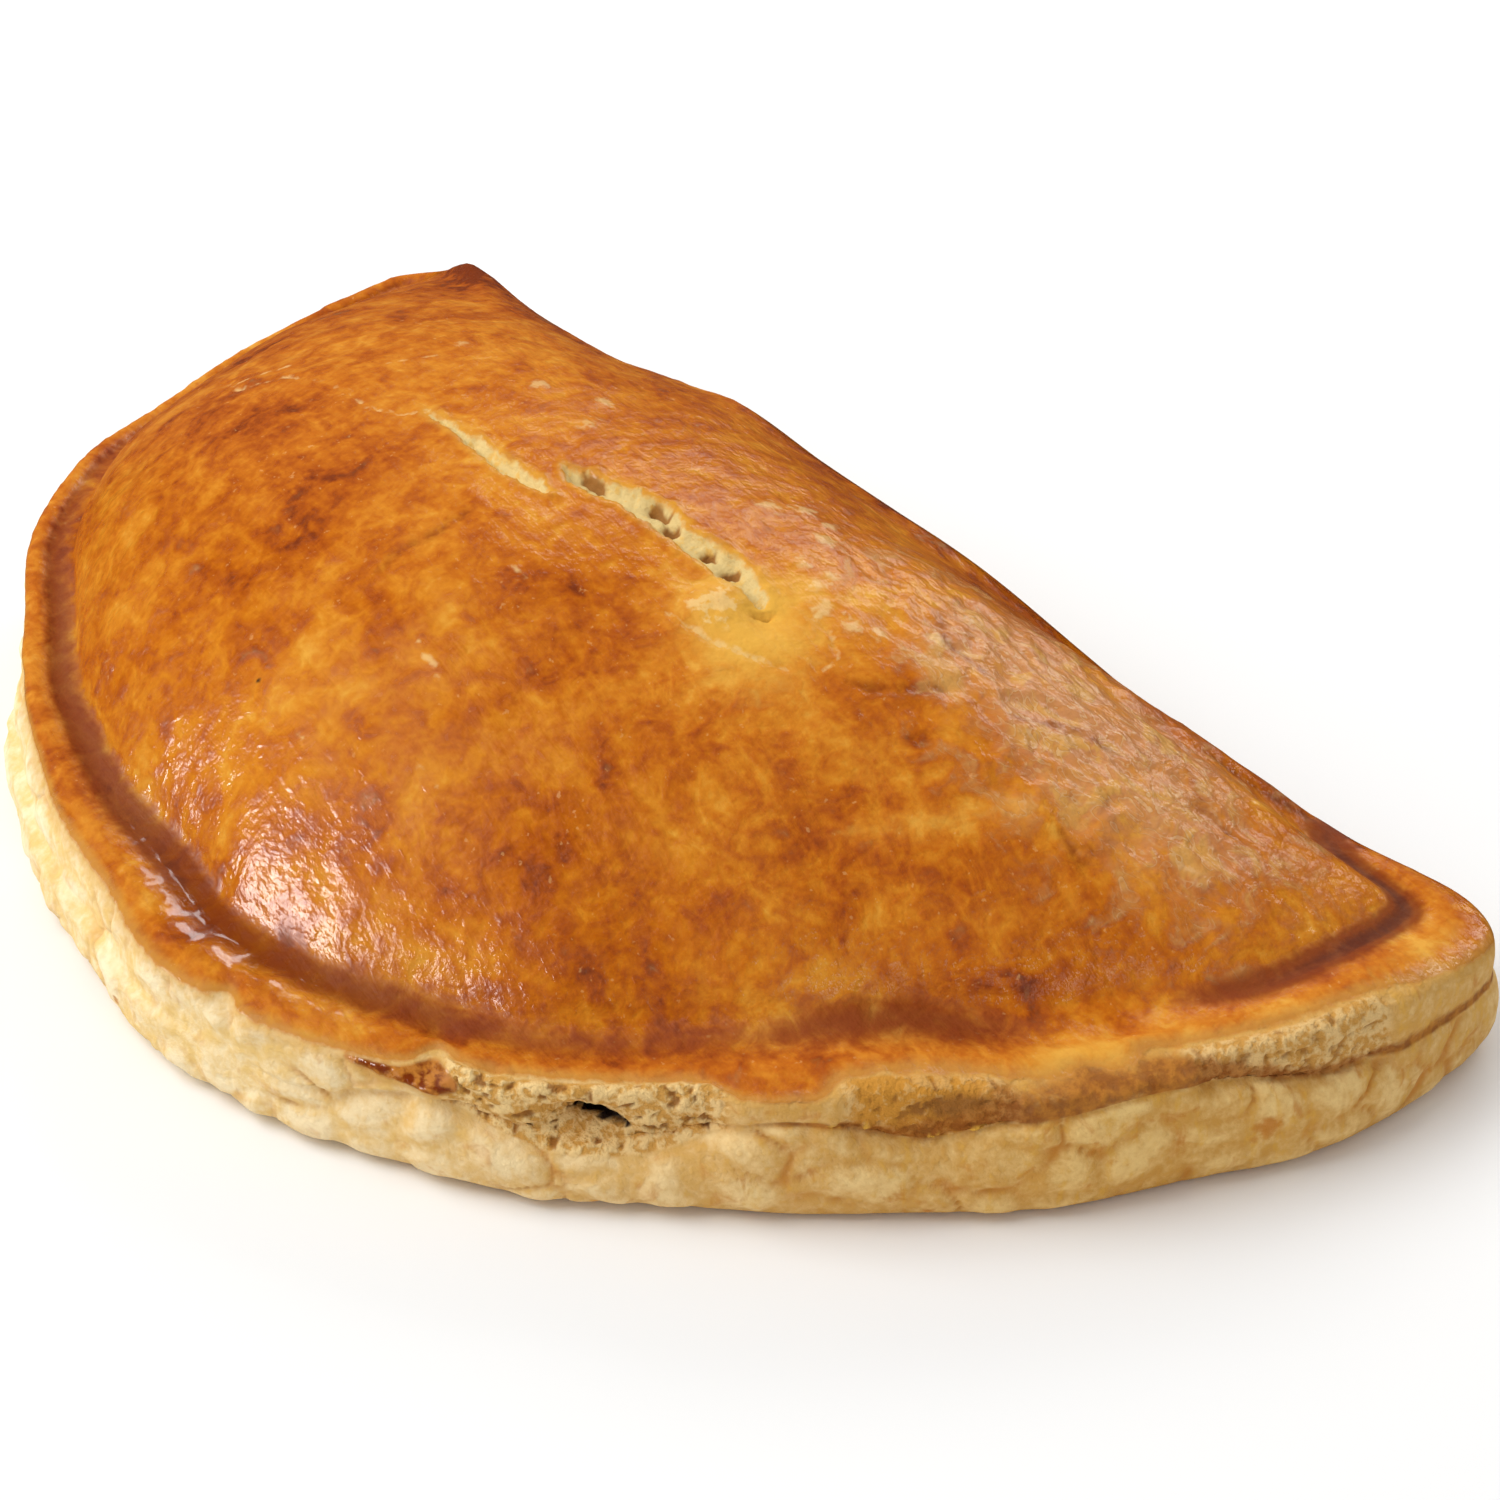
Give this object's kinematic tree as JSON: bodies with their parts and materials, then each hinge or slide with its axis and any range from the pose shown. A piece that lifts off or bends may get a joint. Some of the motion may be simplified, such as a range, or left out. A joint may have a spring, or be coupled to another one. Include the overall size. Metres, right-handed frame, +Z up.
{
  "type": "half-moon pastry turnover",
  "caption": "Baked half-moon turnover: dough folded over a hidden filling, curved edge pressed shut and partly torn, glossy egg-washed domed top with a split along it.",
  "frame": {"origin": "on the underside, below the middle of the overall box", "axes": "+X along the fold, from the far-left corner of the picture to its near-right corner; +Y from the pressed curved edge to the fold; +Z up, out of the dome"},
  "size_m": [0.1622, 0.0974, 0.034],
  "materials": {
    "crust": "glossy egg-washed crust over the dome, matt pale crumb along the curved edge"
  },
  "bodies": {
    "root": {"turnover": "crust"}
  },
  "joints": []
}
